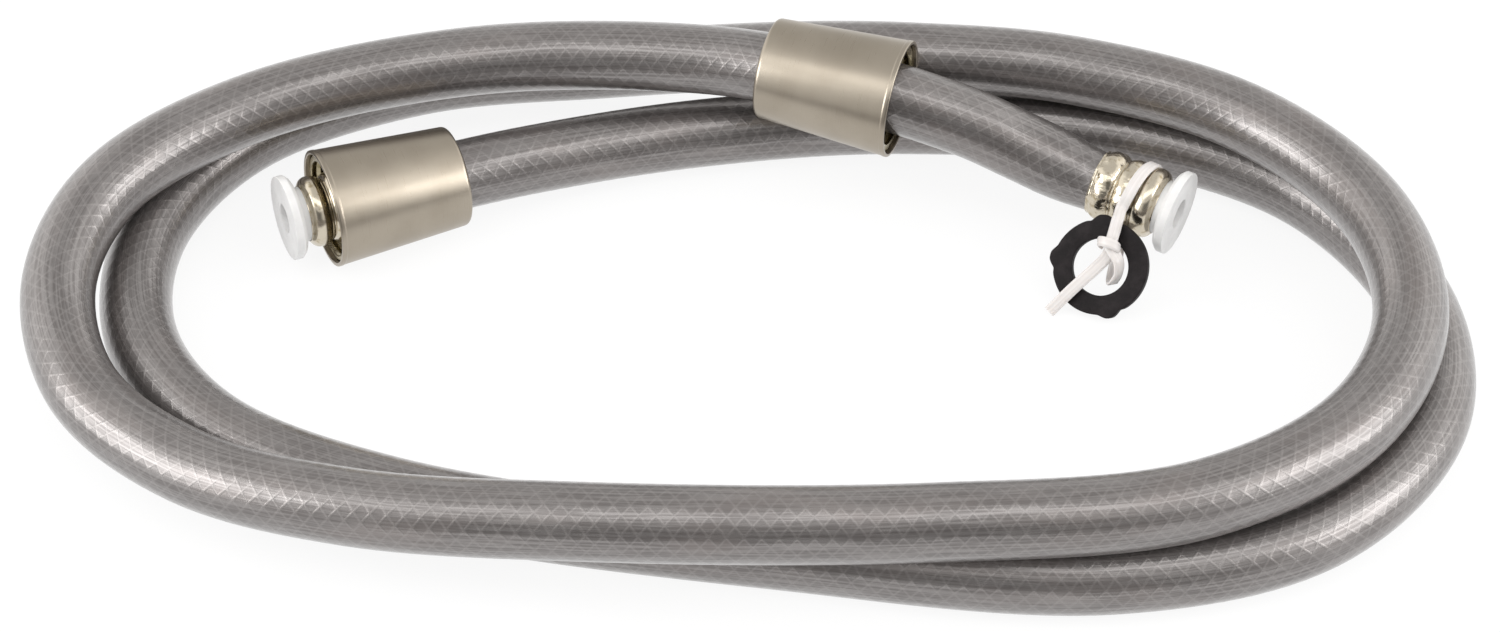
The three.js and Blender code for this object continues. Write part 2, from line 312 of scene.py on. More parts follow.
def hose_material():
    """Silver film strands and a crossing thread braid, seen through a clear vinyl jacket."""
    shader = Shader("vinyl_over_silver_braid")
    straight = shader.node("ShaderNodeAttribute", attribute_name="straight").outputs["Vector"]
    across_hose, upward_hose, distance = shader.split(straight)
    angle = shader.math("ARCTAN2", upward_hose, across_hose)
    around = shader.math("MULTIPLY", angle, BRAID_STRANDS / (2 * math.pi))
    along = shader.math("DIVIDE", distance, BRAID_PITCH / MM)

    # Each family of threads is a sawtooth across its helix, rounded into a ridge.
    ridges = []
    pillows = []
    for operation in ("ADD", "SUBTRACT"):
        phase = shader.math(operation, along, around)
        across = shader.math("PINGPONG", phase, 0.5)
        ridges.append(shader.ramp(across, 0.36, 0.48))
        pillows.append(shader.ramp(across, 0.05, 0.5))
    threads = shader.math("MAXIMUM", *ridges)
    crossings = shader.math("MULTIPLY", *pillows)

    # Film strands run along the hose, a few tenths of a millimetre wide.
    strands = shader.noise(shader.stretched(straight, (1, 1, 0.03)), 2.6, 1.5, 0.6)
    fine = shader.noise(shader.stretched(straight, (1, 1, 0.04)), 6.5, 1.0)
    patches = shader.noise(shader.stretched(straight, (0.5, 0.5, 0.12)), 0.35, 2.0)

    film = shader.blend(shader.ramp(strands, 0.34, 0.66), FILM_DARK, FILM_LIGHT)
    film = shader.blend(shader.ramp(patches, 0.45, 0.75, 0, 0.35), film, FILM_WARM)
    colour = shader.blend(shader.math("MULTIPLY", threads, 0.30), film, THREAD_COLOUR)

    normal = shader.bump(crossings, 0.045 * MM, 0.45)
    normal = shader.bump(threads, 0.05 * MM, 0.4, normal)
    normal = shader.bump(strands, 0.05 * MM, 0.35, normal)
    normal = shader.bump(fine, 0.02 * MM, 0.3, normal)
    return shader.finish(
        Base_Color=colour,
        Metallic=0.7,
        Roughness=shader.ramp(strands, 0.3, 0.7, 0.34, 0.26),
        Normal=normal,
        Coat_Weight=1.0,
        Coat_Roughness=0.28,
        Coat_IOR=1.5,
    )


def braid_material():
    """The same braid where it isn't under the jacket: matt silver threads."""
    shader = Shader("silver_braid_layer")
    weave = shader.noise(shader.place((1, 1, 1)), 1.4, 2.0)
    colour = shader.blend(weave, (0.42, 0.41, 0.40), (0.62, 0.61, 0.60))
    return shader.finish(
        Base_Color=colour, Metallic=0.7, Roughness=0.4, Normal=shader.bump(weave, 0.1 * MM)
    )


def liner_material():
    shader = Shader("milky_liner")
    cloud = shader.noise(shader.place(), 0.5, 2.0)
    colour = shader.blend(cloud, (0.70, 0.69, 0.66), (0.80, 0.79, 0.76))
    return shader.finish(
        Base_Color=colour, Roughness=0.5, Normal=shader.bump(cloud, 0.05 * MM, 0.4)
    )


def satin_nickel_material():
    """Nickel plate brushed round the nut: fine rings, a few short scratches, faint clouds."""
    shader = Shader("satin_nickel")
    where = shader.place()
    x, y, height = shader.split(where)
    angle = shader.math("ARCTAN2", y, x)
    rings = shader.node("ShaderNodeCombineXYZ")
    shader.put(rings.inputs[0], shader.math("MULTIPLY", shader.math("COSINE", angle), 1.4))
    shader.put(rings.inputs[1], shader.math("MULTIPLY", shader.math("SINE", angle), 1.4))
    shader.put(rings.inputs[2], shader.math("MULTIPLY", height, 12.0))
    brushing = shader.noise(rings.outputs[0], 1.0, 2.0, 0.6)
    clouds = shader.noise(where, 0.12, 3.0)
    specks = shader.ramp(shader.noise(where, 1.8, 0.0), 0.80, 0.84)

    colour = shader.blend(
        shader.ramp(clouds, 0.3, 0.7), (0.345, 0.303, 0.246), (0.385, 0.341, 0.280)
    )
    colour = shader.blend(shader.ramp(brushing, 0.25, 0.75, 0, 0.22), colour, (0.415, 0.368, 0.306))
    colour = shader.blend(shader.math("MULTIPLY", specks, 0.25), colour, (0.36, 0.31, 0.25))
    rough = shader.ramp(brushing, 0.2, 0.8, 0.27, 0.33)
    normal = shader.bump(brushing, 0.003 * MM, 0.3)
    return shader.finish(
        Base_Color=colour, Metallic=1.0, Roughness=rough, Normal=normal, Anisotropic=0.35
    )


def bright_nickel_material():
    """Polished nickel, dented and creased by the crimping jaws."""
    shader = Shader("bright_nickel")
    where = shader.place()
    creases = shader.noise(shader.place((1, 1, 0.8)), 0.5, 2.5, 0.55)
    grime = shader.ramp(shader.noise(where, 0.8, 3.0), 0.5, 0.75)
    _, _, depth = shader.split(where)
    crushed = shader.ramp(depth, 7.0, 13.0)
    colour = shader.blend(grime, (0.60, 0.54, 0.435), (0.40, 0.335, 0.22))
    normal = shader.bump(shader.math("MULTIPLY", creases, crushed), 0.6 * MM, 0.5)
    return shader.finish(
        Base_Color=colour,
        Metallic=1.0,
        Roughness=shader.ramp(creases, 0.3, 0.7, 0.14, 0.24),
        Normal=normal,
    )


def core_material():
    """Machined brass under thin nickel: turning marks and random yellower stains, in colours
    darkened as painted shade for the dark inside of the nut.
    """
    shader = Shader("plated_brass")
    where = shader.place()
    turning = shader.node("ShaderNodeTexWave", wave_type="BANDS", bands_direction="Z")
    shader.put(turning.inputs["Vector"], where)
    turning.inputs["Scale"].default_value = 1.8
    turning.inputs["Distortion"].default_value = 0.6
    stain = shader.noise(where, 0.4, 3.0)
    # Both brass colours are darkened as painted shade for the nut's dark inside; the stain noise
    # only varies the tone at random.
    colour = shader.blend(shader.ramp(stain, 0.35, 0.7), (0.46, 0.40, 0.27), (0.30, 0.25, 0.13))
    return shader.finish(
        Base_Color=colour,
        Metallic=1.0,
        Roughness=shader.ramp(stain, 0.3, 0.7, 0.2, 0.34),
        Normal=shader.bump(turning.outputs["Fac"], 0.01 * MM, 0.5),
    )


def nylon_material(name, light, shade):
    """Moulded nylon: milky, slightly uneven, with a faint orange-peel surface."""
    shader = Shader(name)
    where = shader.place()
    cloud = shader.noise(where, 0.25, 3.0)
    peel = shader.noise(where, 2.2, 2.0)
    colour = shader.blend(shader.ramp(cloud, 0.35, 0.65), shade, light)
    return shader.finish(
        Base_Color=colour,
        Roughness=shader.ramp(peel, 0.3, 0.7, 0.30, 0.42),
        Normal=shader.bump(peel, 0.03 * MM, 0.35),
        Subsurface_Weight=0.1,
        Subsurface_Radius=(1.0 * MM, 0.95 * MM, 0.9 * MM),
        Subsurface_Scale=1.0,
    )


def rubber_material():
    """Moulded black rubber with a fine grain, greyer where it was rubbed."""
    shader = Shader("black_rubber")
    where = shader.place()
    grain = shader.noise(where, 6.0, 3.0, 0.6)
    rubbed = shader.noise(where, 0.35, 3.0, 0.6)
    colour = shader.blend(
        shader.ramp(rubbed, 0.4, 0.75), (0.009, 0.007, 0.0075), (0.019, 0.015, 0.016)
    )
    normal = shader.bump(grain, 0.05 * MM, 0.5)
    normal = shader.bump(rubbed, 0.25 * MM, 0.25, normal)
    return shader.finish(
        Base_Color=colour,
        Roughness=shader.ramp(grain, 0.3, 0.7, 0.52, 0.72),
        Normal=normal,
        Specular_IOR_Level=0.2,
    )


def strap_material():
    """Soft translucent plastic strap, drawn with fine grooves along its length."""
    shader = Shader("strap_plastic")
    lanes = shader.node("ShaderNodeAttribute", attribute_name="straight").outputs["Vector"]
    grooves = shader.noise(shader.stretched(lanes, (1, 1, 0.02)), 2.6, 2.0, 0.6)
    cloud = shader.noise(shader.place(), 0.5, 2.0)
    colour = shader.blend(shader.ramp(grooves, 0.3, 0.7), (0.62, 0.59, 0.575), (0.73, 0.70, 0.685))
    colour = shader.blend(shader.math("MULTIPLY", cloud, 0.25), colour, (0.68, 0.645, 0.62))
    return shader.finish(
        Base_Color=colour,
        Roughness=0.34,
        Normal=shader.bump(grooves, 0.08 * MM, 0.5),
        Subsurface_Weight=0.3,
        Subsurface_Radius=(1.0 * MM, 0.9 * MM, 0.8 * MM),
        Subsurface_Scale=1.0,
        Coat_Weight=0.15,
        Coat_Roughness=0.2,
    )


# ---------------------------------------------------------------- mesh helpers


def piece(name, vertices, faces, material, body, matrix=None, sharp=None):
    """A shown piece from its vertices and faces, riding on a CAD body."""
    mesh = bpy.data.meshes.new(name)
    mesh.from_pydata([tuple(v) for v in vertices], [], faces)
    mesh.polygons.foreach_set("use_smooth", [True] * len(mesh.polygons))
    if sharp is not None:
        mesh.set_sharp_from_angle(angle=math.radians(sharp))
    mesh.materials.append(material)
    made = bpy.data.objects.new(name, mesh)
    bpy.context.scene.collection.objects.link(made)
    if matrix is not None:
        made.matrix_world = matrix
    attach(made, body)
    return made


def along(origin, direction):
    """The matrix of a piece whose local Z runs from origin along direction."""
    turn = Vector((0, 0, 1)).rotation_difference(direction.normalized())
    return Matrix.Translation(origin) @ turn.to_matrix().to_4x4()


def rounded(corners, steps=5):
    """A closed outline with its corners rounded. Each corner is (radius, along, rounding)."""
    outline = []
    count = len(corners)
    for index, (radius, height, rounding) in enumerate(corners):
        here = Vector((radius, height))
        before = Vector(corners[index - 1][:2]) - here
        after = Vector(corners[(index + 1) % count][:2]) - here
        if rounding == 0:
            outline.append(tuple(here))
            continue
        reach = min(rounding, 0.45 * before.length, 0.45 * after.length)
        start = here + before.normalized() * reach
        end = here + after.normalized() * reach
        for step in range(steps + 1):
            t = step / steps
            outline.append(tuple((1 - t) ** 2 * start + 2 * t * (1 - t) * here + t * t * end))
    return outline


def turned_faces(rows, sides):
    """Quads of a closed ring whose section has that many rows, seen from outside."""
    faces = []
    for side in range(sides):
        for row in range(rows):
            a = side * rows + row
            b = side * rows + (row + 1) % rows
            c = ((side + 1) % sides) * rows + (row + 1) % rows
            d = ((side + 1) % sides) * rows + row
            faces.append((a, d, c, b))
    return faces


def turned_vertices(outline, sides, reach=None):
    """The outline turned about local Z. reach(radius, height, angle) may change the radius."""
    vertices = []
    for side in range(sides):
        angle = 2 * math.pi * side / sides
        for radius, height in outline:
            r = reach(radius, height, angle) if reach else radius
            vertices.append((r * math.cos(angle), r * math.sin(angle), height))
    return vertices


def outward(outline):
    """The outline in the order that makes turned_faces look outwards."""
    area = sum(
        a[0] * b[1] - b[0] * a[1] for a, b in zip(outline, outline[1:] + outline[:1])
    )
    return outline if area > 0 else outline[::-1]


def turned(name, outline, matrix, material, body, sides=96, reach=None, sharp=35):
    outline = outward(outline)
    vertices = turned_vertices(outline, sides, reach)
    faces = turned_faces(len(outline), sides)
    return piece(name, vertices, faces, material, body, matrix, sharp)


# ---------------------------------------------------------------- the hose


def catmull_rom(points, per_span):
    """A centripetal Catmull-Rom curve through the points, the same one as the CAD tube's."""
    points = [np.array(p) for p in points]
    ends = [2 * points[0] - points[1], *points, 2 * points[-1] - points[-2]]
    t = (np.arange(per_span) / per_span)[:, None]
    curve = []
    for p0, p1, p2, p3 in zip(ends, ends[1:], ends[2:], ends[3:]):
        d0, d1, d2 = (math.sqrt(np.linalg.norm(b - a)) for a, b in ((p0, p1), (p1, p2), (p2, p3)))
        m1 = ((p1 - p0) / d0 - (p2 - p0) / (d0 + d1) + (p2 - p1) / d1) * d1
        m2 = ((p2 - p1) / d1 - (p3 - p1) / (d1 + d2) + (p3 - p2) / d2) * d1
        square = 3 * (p2 - p1) - 2 * m1 - m2
        cube = 2 * (p1 - p2) + m1 + m2
        curve.append(p1 + m1 * t + square * t**2 + cube * t**3)
    return np.vstack([*curve, points[-1][None, :]])


def evenly(curve, step):
    """The curve's points at an even distance, and each one's distance from the start."""
    travelled = np.concatenate([[0], np.cumsum(np.linalg.norm(np.diff(curve, axis=0), axis=1))])
    distance = np.linspace(0, travelled[-1], round(travelled[-1] / step) + 1)
    places = np.stack([np.interp(distance, travelled, curve[:, k]) for k in range(3)], axis=1)
    return places, distance


def frames_along(points):
    """Two crosswise directions at each point, turned as little as possible along the way."""
    tangents = np.gradient(points, axis=0)
    tangents /= np.linalg.norm(tangents, axis=1)[:, None]
    side = np.cross(tangents[0], (0, 0, 1.0))
    side /= np.linalg.norm(side)
    sides = []
    for tangent in tangents:
        side = side - tangent * np.dot(side, tangent)
        side /= np.linalg.norm(side)
        sides.append(side)
    sides = np.array(sides)
    return sides, np.cross(tangents, sides)


axis_a = (ROUTE[0] - FACE_A).normalized()
axis_b = (ROUTE[-1] - FACE_B).normalized()
end_a = along(FACE_A, axis_a)
end_b = along(FACE_B, axis_b)

hose_line = catmull_rom(
    [
        FACE_A + axis_a * HOSE_START,
        FACE_A + axis_a * CRIMP_REST * FERRULE_END,
        *ROUTE,
        FACE_B + axis_b * CRIMP_REST * FERRULE_END,
        FACE_B + axis_b * HOSE_START,
    ],
    CURVE_STEPS,
)


def smoothstep(low, high, value):
    t = np.clip((value - low) / (high - low), 0, 1)
    return t * t * (3 - 2 * t)


def tube(name, outer, inner, step, sides, material, relief=0.0):
    """A closed tube along the hose: its outer wall, its inner wall and a ring at each end."""
    points, distance = evenly(hose_line, step)
    across, upward = frames_along(points)
    angles = 2 * np.pi * np.arange(sides) / sides
    phase = 2 * np.pi * distance[:, None] / BRAID_PITCH
    lattice = np.cos(phase + BRAID_STRANDS * angles) + np.cos(phase - BRAID_STRANDS * angles)
    twist = np.cos(2 * angles + distance[:, None] / UNEVEN_TWIST)
    uneven = np.sin(distance / UNEVEN_WAVE)[:, None] * twist
    from_end = HOSE_START + np.minimum(distance, distance[-1] - distance)
    swell = smoothstep(SQUEEZE_END, FULL_SIZE, from_end)[:, None]
    walls = []
    for (full, squeezed), height in ((outer, relief), (inner, 0.0)):
        radii = squeezed + (full - squeezed) * swell + 0 * angles
        radii = radii + height * swell * (UNEVEN_SHARE * uneven - LATTICE_SHARE * lattice)
        ring = (
            points[:, None, :]
            + radii[..., None] * np.cos(angles)[None, :, None] * across[:, None, :]
            + radii[..., None] * np.sin(angles)[None, :, None] * upward[:, None, :]
        )
        walls.append((ring, radii))
    rows = len(points)
    vertices = np.concatenate([ring.reshape(-1, 3) for ring, _ in walls])
    faces = []
    inside = rows * sides
    for row in range(rows - 1):
        for side in range(sides):
            a = row * sides + side
            b = row * sides + (side + 1) % sides
            faces.append((a, b, b + sides, a + sides))
            faces.append((inside + a, inside + a + sides, inside + b + sides, inside + b))
    last = (rows - 1) * sides
    for side in range(sides):
        after = (side + 1) % sides
        faces.append((side, inside + side, inside + after, after))
        faces.append((last + side, last + after, inside + last + after, inside + last + side))
    made = piece(name, vertices, faces, material, "hose", sharp=60)
    straight = [
        np.stack(
            [
                radii / MM * np.cos(angles),
                radii / MM * np.sin(angles),
                (distance / MM)[:, None] + 0 * angles,
            ],
            axis=-1,
        ).reshape(-1, 3)
        for _, radii in walls
    ]
    layer = made.data.attributes.new("straight", "FLOAT_VECTOR", "POINT")
    layer.data.foreach_set("vector", np.concatenate(straight).ravel())
    return made, points


def make_hose():
    jacket, centreline = tube(
        "hose_vinyl",
        JACKET_OUTSIDE,
        JACKET_INSIDE,
        JACKET_STEP,
        JACKET_SIDES,
        hose_material(),
        BRAID_RELIEF,
    )
    braid, _ = tube(
        "braid_layer",
        BRAID_OUTSIDE,
        BRAID_INSIDE,
        LAYER_STEP,
        LAYER_SIDES,
        braid_material(),
    )
    liner, _ = tube(
        "inner_tube",
        LINER_OUTSIDE,
        LINER_INSIDE,
        LAYER_STEP,
        LAYER_SIDES,
        liner_material(),
    )
    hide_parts("hose_jacket")
    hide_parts("hose_braid")
    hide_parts("hose_liner")
    return jacket, braid, liner, centreline


# ---------------------------------------------------------------- end fittings


def make_insert(letter, matrix, material):
    outline = rounded(
        [
            (FLANGE_BORE_RADIUS, 0, 0.3 * MM),
            (FLANGE_FACE_RADIUS, FLANGE_DISH, 0.6 * MM),
            (FLANGE_RADIUS, 0, 0.16 * MM),
            (FLANGE_RADIUS, FLANGE_RIM, 0.2 * MM),
            (FLANGE_BACK_RADIUS, FLANGE_THICKNESS, 0.3 * MM),
            (NECK_RADIUS, FLANGE_THICKNESS, 0.3 * MM),
            (NECK_RADIUS, NECK_END, 0.2 * MM),
            (STEM_RADIUS, NECK_END, 0),
            (STEM_RADIUS, STEM_END, 0.2 * MM),
            (STEM_BORE_RADIUS, STEM_END, 0.2 * MM),
            (STEM_BORE_RADIUS, BORE_STEP, 0.3 * MM),
        ]
    )
    made = turned(f"flanged_insert_{letter}", outline, matrix, material, "hose")
    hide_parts(f"insert_{letter}")
    return made


def make_ferrule(letter, matrix, material, seed):
    """Three rolled beads and a flared skirt, dented and pinched a little by crimping jaws."""
    steps = 96
    beads = [(bead + 0.5) * BEAD_PITCH for bead in range(BEAD_COUNT)]
    length = FERRULE_END - FERRULE_START
    outside = []
    for step in range(steps + 1):
        along_it = length * step / steps
        nearest = min(abs(along_it - bead) for bead in beads) / BEAD_HALF_WIDTH
        bulge = max(0.0, 1 - nearest**2) ** 0.7
        rise = smoothstep(0, 0.5 * BEAD_PITCH, along_it)
        valley = FERRULE_FRONT_RADIUS + (VALLEY_RADIUS - FERRULE_FRONT_RADIUS) * rise
        flare = FERRULE_FLARE * smoothstep(length - 1.0 * MM, length, along_it)
        radius = valley + (BEAD_RADIUS - valley) * bulge + flare
        outside.append((radius, FERRULE_START + along_it))
    outline = [
        *outside,
        (outside[-1][0] - FERRULE_WALL, FERRULE_END + 0.05 * MM),
        (FERRULE_INSIDE_RADIUS, FERRULE_END),
        (FERRULE_INSIDE_RADIUS, SQUEEZE_END),
        (FERRULE_FRONT_RADIUS - 0.05 * MM, FERRULE_START),
    ]

    def crimped(radius, height, angle):
        if radius <= FERRULE_INSIDE_RADIUS and height > FERRULE_START + 0.5 * MM:
            return radius
        back = smoothstep(FERRULE_START + 2.5 * MM, FERRULE_END - 3 * MM, height)
        jaws = math.cos(CRIMPING_JAWS * angle + 2.2 * math.sin(height / (2.1 * MM) + seed))
        dents = math.sin(5 * angle + seed + height / (1.7 * MM))
        dents *= math.sin(3 * angle - height / (2.6 * MM))
        return radius + (0.07 * jaws + 0.12 * dents) * MM * (0.06 + 0.94 * back)

    made = turned(
        f"crimped_ferrule_{letter}", outline, matrix, material, "hose", 144, crimped
    )
    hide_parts(f"ferrule_{letter}")
    return made


def nut_inside(height):
    taper = (NUT_MOUTH_RADIUS - NUT_BACK_RADIUS) / NUT_LENGTH
    return NUT_MOUTH_RADIUS - NUT_WALL - taper * height


def make_shell(letter, matrix, material):
    back_inside = NUT_LENGTH - 1.0 * MM
    outline = rounded(
        [
            (nut_inside(0), 0, 0.25 * MM),
            (NUT_MOUTH_RADIUS, 0, 0.35 * MM),
            (NUT_MOUTH_RADIUS - 0.02 * MM, 0.9 * MM, 0.2 * MM),
            (NUT_MOUTH_RADIUS - 0.12 * MM, 1.1 * MM, 0.2 * MM),
            (NUT_BACK_RADIUS, NUT_LENGTH, 1.1 * MM),
            (NUT_HOLE_RADIUS, NUT_LENGTH, 0.3 * MM),
            (NUT_HOLE_RADIUS, back_inside, 0.2 * MM),
            (nut_inside(back_inside), back_inside, 0.3 * MM),
        ]
    )
    made = turned(
        f"nut_{letter}_cone", outline, matrix, material, f"nut_{letter}", 160
    )
    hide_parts(f"nut_{letter}_shell")
    return made


def make_core(letter, matrix, material):
    """The threaded core: a true helical thread, cut as a radius that follows height and angle."""
    rows = 84
    inner = [
        (THREAD_CREST_RADIUS, CORE_SHOULDER - (CORE_SHOULDER - CORE_START) * row / rows)
        for row in range(rows + 1)
    ]
    outer = nut_inside(CORE_START) - 0.25 * MM
    outer_back = nut_inside(CORE_END) - 0.25 * MM
    outline = [
        *inner,
        (outer - 0.15 * MM, CORE_START),
        (outer, CORE_START + 0.15 * MM),
        (outer_back, CORE_END),
        (NUT_HOLE_RADIUS, CORE_END),
        (NUT_HOLE_RADIUS, CORE_SHOULDER),
    ]

    def threaded(radius, height, angle):
        if abs(radius - THREAD_CREST_RADIUS) > 0.01 * MM:
            return radius
        turns = (height - CORE_START) / THREAD_PITCH + angle / (2 * math.pi)
        groove = 0.5 + 0.5 * math.cos(2 * math.pi * turns)
        fade = smoothstep(CORE_SHOULDER, CORE_SHOULDER - THREAD_RUN_OUT, height)
        return radius + (THREAD_ROOT_RADIUS - THREAD_CREST_RADIUS) * groove * fade

    made = turned(
        f"nut_{letter}_thread", outline, matrix, material, f"nut_{letter}", 96,
        threaded,
    )
    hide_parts(f"nut_{letter}_core")
    return made


def make_slip_ring(letter, matrix, material):
    inner, outer = SLIP_RING_RADII
    front, back = SLIP_RING_ENDS
    edge = 0.2 * MM
    outline = rounded(
        [(inner, front, edge), (outer, front, edge), (outer, back, edge), (inner, back, edge)]
    )
    made = turned(f"bearing_ring_{letter}", outline, matrix, material, f"slip_{letter}")
    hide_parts(f"slip_ring_{letter}")
    return made


# ---------------------------------------------------------------- the washer and its strap


def make_washer():
    """A flat ring with rounded edges and shallow ears moulded on its rim."""
    half = WASHER_THICKNESS / 2
    outline = rounded(
        [
            (WASHER_HOLE_RADIUS, -half, 0.25 * MM),
            (WASHER_RADIUS, -half, 0.3 * MM),
            (WASHER_RADIUS, half, 0.3 * MM),
            (WASHER_HOLE_RADIUS, half, 0.25 * MM),
        ],
        4,
    )

    def eared(radius, height, angle):
        outer_share = smoothstep(WASHER_HOLE_RADIUS + 0.5 * MM, WASHER_RADIUS, radius)
        bump = 0.0
        for ear in WASHER_EARS:
            away = (math.degrees(angle) - ear + 180) % 360 - 180
            bump += 1 - smoothstep(EAR_TOP_HALF_ANGLE, EAR_FOOT_HALF_ANGLE, abs(away))
            bump -= 0.2 * math.exp(-(((away - EAR_FOOT_HALF_ANGLE) / 3.5) ** 2))
        wobble = 0.04 * math.sin(2 * angle + 0.7) + 0.03 * math.sin(5 * angle)
        return radius + outer_share * (EAR_REACH * bump + wobble * MM)

    right = WASHER_RIGHT
    up = WASHER_FACE.cross(right).normalized()
    right = up.cross(WASHER_FACE)
    matrix = Matrix((right, up, WASHER_FACE)).transposed().to_4x4()
    matrix.translation = WASHER_CENTRE
    made = turned(
        "eared_washer", outline, matrix, rubber_material(), "washer", 240, eared
    )
    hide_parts("washer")
    return made, matrix


def strap(name, points, faces_to, material, width=STRAP_WIDTH, thickness=STRAP_THICKNESS):
    """A flat strap through the points, its broad side facing faces_to at each of them."""
    line = catmull_rom(points, STRAP_STEPS)
    places = np.arange(len(line)) / STRAP_STEPS
    whole = np.arange(len(points))
    facing = np.stack(
        [np.interp(places, whole, [face[k] for face in faces_to]) for k in range(3)], axis=1
    )
    tangents = np.gradient(line, axis=0)
    tangents /= np.linalg.norm(tangents, axis=1)[:, None]
    facing = facing - tangents * np.sum(facing * tangents, axis=1)[:, None]
    facing /= np.linalg.norm(facing, axis=1)[:, None]
    sideways = np.cross(tangents, facing)
    half, thin = width / 2, thickness / 2
    section = []
    for along_width in np.linspace(-1, 1, 9):
        ridge = 0.08 * math.cos(3 * math.pi * along_width)
        edge = 1 - 0.55 * abs(along_width) ** 6
        section.append((half * along_width, thin * (edge + ridge)))
    section += [(x, -y) for x, y in reversed(section)]
    rows, count = len(line), len(section)
    vertices = []
    for centre, side, out in zip(line, sideways, facing):
        vertices += [centre + side * x + out * y for x, y in section]
    faces = []
    for row in range(rows - 1):
        for k in range(count):
            a = row * count + k
            b = row * count + (k + 1) % count
            faces.append((a, a + count, b + count, b))
    faces.append(tuple(range(count)))
    faces.append(tuple(range(rows * count - 1, (rows - 1) * count - 1, -1)))
    made = piece(name, vertices, faces, material, "hose", sharp=50)
    travelled = np.concatenate([[0], np.cumsum(np.linalg.norm(np.diff(line, axis=0), axis=1))])
    lanes = [(x / MM, y / MM, d / MM) for d in travelled for x, y in section]
    layer = made.data.attributes.new("straight", "FLOAT_VECTOR", "POINT")
    layer.data.foreach_set("vector", np.array(lanes).ravel())
    return made


def make_tie(washer_matrix):
    """The strap: a loop over ferrule B and through the washer, its knot and its tail."""
    material = strap_material()
    turn = washer_matrix.to_3x3()

    def at(right, up, out):
        return washer_matrix @ (Vector((right, up, out)) * MM)

    def way(right, up, out):
        return turn @ Vector((right, up, out)).normalized()

    toward = WASHER_CENTRE - FACE_B
    toward = (toward - axis_b * toward.dot(axis_b)).normalized()
    upward = axis_b.cross(toward).normalized()
    if upward.z < 0:
        upward.negate()
    # Round the ferrule: degrees, distance along it and from its axis. It lies between the first
    # two beads at the top and runs over the second one in front.
    wraps = (
        (42, 9.6, 7.75),
        (62, 9.2, 7.65),
        (86, 8.9, 7.55),
        (110, 8.6, 7.4),
        (135, 8.3, 7.25),
        (160, 8.2, 7.2),
        (190, 8.1, 7.2),
        (220, 8.1, 7.2),
        (250, 8.2, 7.2),
        (280, 8.4, 7.3),
    )
    over = []
    over_faces = []
    for degrees, distance, reach in wraps:
        angle = math.radians(degrees)
        out = toward * math.cos(angle) + upward * math.sin(angle)
        over.append(FACE_B + axis_b * distance * MM + out * reach * MM)
        over_faces.append(out)

    loop_points = [
        at(2.5, 4.2, 2.9),
        at(3.1, 6.6, 2.2),
        at(3.8, 9.3, 1.9),
        *over,
        at(3.6, 7.5, -4.6),
        at(2.6, 2.0, -2.6),
        at(1.9, -2.2, -1.6),
        at(2.4, -3.1, 0.2),
        at(3.9, -1.3, 1.8),
        at(4.1, 1.0, 2.7),
        at(2.9, 3.4, 3.1),
        at(1.9, 5.0, 2.9),
    ]
    loop_faces = [
        way(0, 0, 1),
        way(0, 0.1, 1),
        way(0, 0.3, 1),
        *over_faces,
        way(0, 0.2, -1),
        way(0, -0.4, -1),
        way(-0.2, -0.8, -0.5),
        way(0.3, -1, 0.1),
        way(0.8, -0.4, 0.4),
        way(0.7, 0, 0.7),
        way(0.3, 0, 1),
        way(0, 0, 1),
    ]
    made = [strap("tie_loop", loop_points, loop_faces, material)]

    knot_points = [
        at(1.0, 4.3, 1.7),
        at(0.2, 4.8, 2.3),
        at(0.7, 5.0, 3.5),
        at(2.2, 4.7, 4.2),
        at(3.7, 4.0, 3.6),
        at(4.1, 3.5, 2.4),
        at(3.0, 3.5, 1.7),
    ]
    knot_faces = [
        way(-0.5, 0, -1),
        way(-1, 0, -0.1),
        way(-0.7, 0.1, 0.8),
        way(0, 0.1, 1),
        way(0.7, 0, 0.8),
        way(1, 0, -0.1),
        way(0.5, 0, -1),
    ]
    made.append(strap("tie_knot", knot_points, knot_faces, material, KNOT_WIDTH, KNOT_THICKNESS))

    tail_points = [
        at(2.6, 4.0, 2.0),
        at(1.6, 1.9, 2.2),
        at(-0.4, -0.2, 2.5),
        at(-4.9, -4.1, 2.3),
        at(-9.9, -8.8, 2.3),
    ]
    tail_faces = [way(0, 0, 1), way(0, 0, 1), way(0.05, 0, 1), way(0.1, 0, 1), way(0.1, 0, 1)]
    made.append(strap("tie_tail", tail_points, tail_faces, material))
    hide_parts("tie")
    return made


# ---------------------------------------------------------------- the assembly

jacket, braid, liner, centreline = make_hose()

nylon = nylon_material("white_nylon", (0.75, 0.745, 0.74), (0.69, 0.685, 0.68))
acetal = nylon_material("acetal", (0.74, 0.72, 0.67), (0.66, 0.64, 0.60))
bright_nickel = bright_nickel_material()
satin_nickel = satin_nickel_material()
plated_brass = core_material()

nut_frames = {
    "a": along(FACE_A + axis_a * NUT_FROM_FLANGE, axis_a),
    "b": along(NUT_B_MOUTH, NUT_B_BACK - NUT_B_MOUTH),
}
for letter, end, seed in (("a", end_a, 0.4), ("b", end_b, 2.1)):
    nut = nut_frames[letter]
    make_insert(letter, end, nylon)
    make_ferrule(letter, end, bright_nickel, seed)
    make_shell(letter, nut, satin_nickel)
    make_core(letter, nut, plated_brass)
    make_slip_ring(letter, nut, acetal)

washer, washer_matrix = make_washer()
tie = make_tie(washer_matrix)

# ---------------------------------------------------------------- the stage


FLOOR_HALF_SIZE = 3.0

# Name, place in metres, width and height in metres, power in watts.
SOFTBOXES = (
    ("left", (-0.95, -0.32, 0.42), 0.65, 0.65, 5.2),
    ("right", (0.95, -0.30, 0.46), 0.65, 0.65, 4.4),
    ("top", (0, -0.36, 1.00), 1.4, 0.4, 2.4),
)

# The room's brightness: all round, low in front, and what both sides add.
ROOM_LIGHT = 0.80
ROOM_DARK = 0.20
ROOM_SIDES = 0.60


